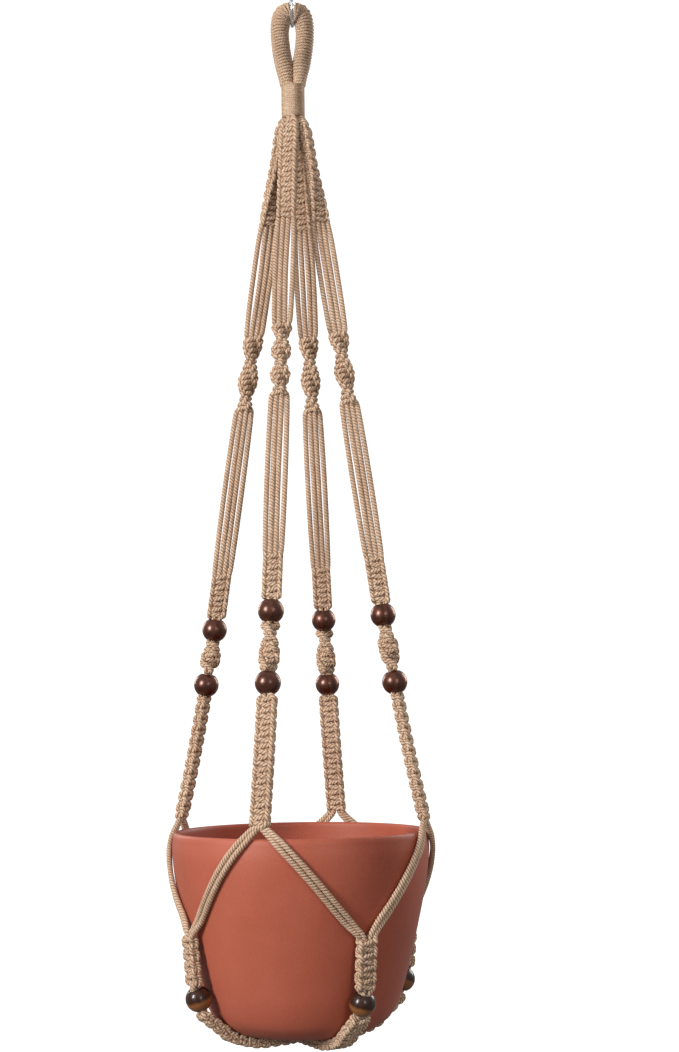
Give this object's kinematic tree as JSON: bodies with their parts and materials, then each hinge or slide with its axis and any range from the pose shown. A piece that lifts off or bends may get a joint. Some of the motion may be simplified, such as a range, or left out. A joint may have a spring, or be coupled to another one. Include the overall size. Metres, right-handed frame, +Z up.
{
  "type": "hanging macrame planter",
  "caption": "Terracotta pot in a knotted jute rope hanger with dark wooden beads, hung from a wrapped loop by an S-hook and a coated screw hook.",
  "frame": {"origin": "on the planter's vertical axis in the plane of the ceiling, where the hook's screw enters it", "axes": "+Z up along the planter's axis, -Y towards the front, +X to the right as seen from the front"},
  "size_m": [0.2223, 0.2224, 1.0189],
  "materials": {
    "jute_knotted": "three-strand jute cord, tightly knotted, dry and matt",
    "jute_cord": "three-strand jute cord, open, dry and matt with short fibres",
    "bead_wood": "dark stained turned wood, clear gloss lacquer",
    "bead_base_wood": "near-black stained wood with an amber grain band, gloss lacquer",
    "terracotta": "satin terracotta, smooth, faintly mottled",
    "hook_coating": "satin brown vinyl coating",
    "s_hook_chrome": "bright plated wire",
    "tip_sleeve": "clear soft sleeve",
    "plug_nylon": "moulded white nylon"
  },
  "bodies": {
    "ceiling_fixing": {"wall_plug": "plug_nylon", "ceiling_hook": "hook_coating"},
    "s_hook_assembly": {"s_hook": "s_hook_chrome", "s_hook_tip_upper": "tip_sleeve", "s_hook_tip_lower": "tip_sleeve"},
    "rope_hanger": {"hanging_loop": "jute_knotted", "collar_wrap": "jute_knotted", "front_top_sinnet": "jute_knotted", "front_upper_cords": "jute_cord", "front_spiral_knot": "jute_knotted", "front_lower_cords": "jute_cord", "front_bead_sinnet": "jute_knotted", "front_rim_sinnet": "jute_knotted", "right_top_sinnet": "jute_knotted", "right_upper_cords": "jute_cord", "right_spiral_knot": "jute_knotted", "right_lower_cords": "jute_cord", "right_bead_sinnet": "jute_knotted", "right_rim_sinnet": "jute_knotted", "back_top_sinnet": "jute_knotted", "back_upper_cords": "jute_cord", "back_spiral_knot": "jute_knotted", "back_lower_cords": "jute_cord", "back_bead_sinnet": "jute_knotted", "back_rim_sinnet": "jute_knotted", "left_top_sinnet": "jute_knotted", "left_upper_cords": "jute_cord", "left_spiral_knot": "jute_knotted", "left_lower_cords": "jute_cord", "left_bead_sinnet": "jute_knotted", "left_rim_sinnet": "jute_knotted", "net_front_to_front_right": "jute_cord", "net_right_to_front_right": "jute_cord", "net_right_to_back_right": "jute_cord", "net_back_to_back_right": "jute_cord", "net_back_to_back_left": "jute_cord", "net_left_to_back_left": "jute_cord", "net_left_to_front_left": "jute_cord", "net_front_to_front_left": "jute_cord", "side_sinnet_front_right": "jute_knotted", "side_sinnet_back_right": "jute_knotted", "side_sinnet_back_left": "jute_knotted", "side_sinnet_front_left": "jute_knotted", "base_cross": "jute_knotted"},
    "bead_upper_front_body": {"bead_upper_front": "bead_wood"},
    "bead_upper_right_body": {"bead_upper_right": "bead_wood"},
    "bead_upper_back_body": {"bead_upper_back": "bead_wood"},
    "bead_upper_left_body": {"bead_upper_left": "bead_wood"},
    "bead_lower_front_body": {"bead_lower_front": "bead_wood"},
    "bead_lower_right_body": {"bead_lower_right": "bead_wood"},
    "bead_lower_back_body": {"bead_lower_back": "bead_wood"},
    "bead_lower_left_body": {"bead_lower_left": "bead_wood"},
    "bead_base_front_right_body": {"bead_base_front_right": "bead_base_wood"},
    "bead_base_back_right_body": {"bead_base_back_right": "bead_base_wood"},
    "bead_base_back_left_body": {"bead_base_back_left": "bead_base_wood"},
    "bead_base_front_left_body": {"bead_base_front_left": "bead_base_wood"},
    "pot_body": {"pot": "terracotta"}
  },
  "joints": [
    {"name": "s_hook_swing", "type": "hinge", "parent": "ceiling_fixing", "child": "s_hook_assembly", "pos_m": [0, 0, -0.0553], "axis": [1, 0, 0], "range_deg": [-30, 30]},
    {"name": "planter_swing", "type": "hinge", "parent": "s_hook_assembly", "child": "rope_hanger", "pos_m": [0, 0, -0.1232], "axis": [0, 1, 0], "range_deg": [-30, 30]},
    {"name": "pot_turn", "type": "hinge", "parent": "rope_hanger", "child": "pot_body", "pos_m": [0, 0, -0.977], "axis": [0, 0, 1], "continuous": true},
    {"name": "bead_upper_front_spin", "type": "hinge", "parent": "rope_hanger", "child": "bead_upper_front_body", "pos_m": [-0.02206, -0.06996, -0.635], "axis": [0.0444, 0.1409, 0.989], "continuous": true},
    {"name": "bead_lower_front_spin", "type": "hinge", "parent": "rope_hanger", "child": "bead_lower_front_body", "pos_m": [-0.02489, -0.07895, -0.6925], "axis": [0.053, 0.1681, 0.9844], "continuous": true},
    {"name": "bead_upper_right_spin", "type": "hinge", "parent": "rope_hanger", "child": "bead_upper_right_body", "pos_m": [0.07024, -0.02215, -0.637], "axis": [-0.1414, 0.0446, 0.9889], "continuous": true},
    {"name": "bead_lower_right_spin", "type": "hinge", "parent": "rope_hanger", "child": "bead_lower_right_body", "pos_m": [0.07895, -0.02489, -0.6925], "axis": [-0.1681, 0.053, 0.9844], "continuous": true},
    {"name": "bead_upper_back_spin", "type": "hinge", "parent": "rope_hanger", "child": "bead_upper_back_body", "pos_m": [0.02212, 0.07017, -0.6365], "axis": [-0.0445, -0.1412, 0.989], "continuous": true},
    {"name": "bead_lower_back_spin", "type": "hinge", "parent": "rope_hanger", "child": "bead_lower_back_body", "pos_m": [0.02489, 0.07895, -0.6925], "axis": [-0.053, -0.1681, 0.9844], "continuous": true},
    {"name": "bead_upper_left_spin", "type": "hinge", "parent": "rope_hanger", "child": "bead_upper_left_body", "pos_m": [-0.07155, 0.02256, -0.646], "axis": [0.1458, -0.046, 0.9883], "continuous": true},
    {"name": "bead_lower_left_spin", "type": "hinge", "parent": "rope_hanger", "child": "bead_lower_left_body", "pos_m": [-0.07895, 0.02489, -0.6925], "axis": [0.1681, -0.053, 0.9844], "continuous": true},
    {"name": "bead_base_front_right_spin", "type": "hinge", "parent": "rope_hanger", "child": "bead_base_front_right_body", "pos_m": [0.04693, -0.08295, -0.943], "axis": [0.1749, -0.3092, 0.9348], "continuous": true},
    {"name": "bead_base_back_right_spin", "type": "hinge", "parent": "rope_hanger", "child": "bead_base_back_right_body", "pos_m": [0.08529, 0.04252, -0.943], "axis": [0.3179, 0.1585, 0.9348], "continuous": true},
    {"name": "bead_base_back_left_spin", "type": "hinge", "parent": "rope_hanger", "child": "bead_base_back_left_body", "pos_m": [-0.04693, 0.08295, -0.943], "axis": [-0.1749, 0.3092, 0.9348], "continuous": true},
    {"name": "bead_base_front_left_spin", "type": "hinge", "parent": "rope_hanger", "child": "bead_base_front_left_body", "pos_m": [-0.08295, -0.04693, -0.943], "axis": [-0.3092, -0.1749, 0.9348], "continuous": true}
  ]
}
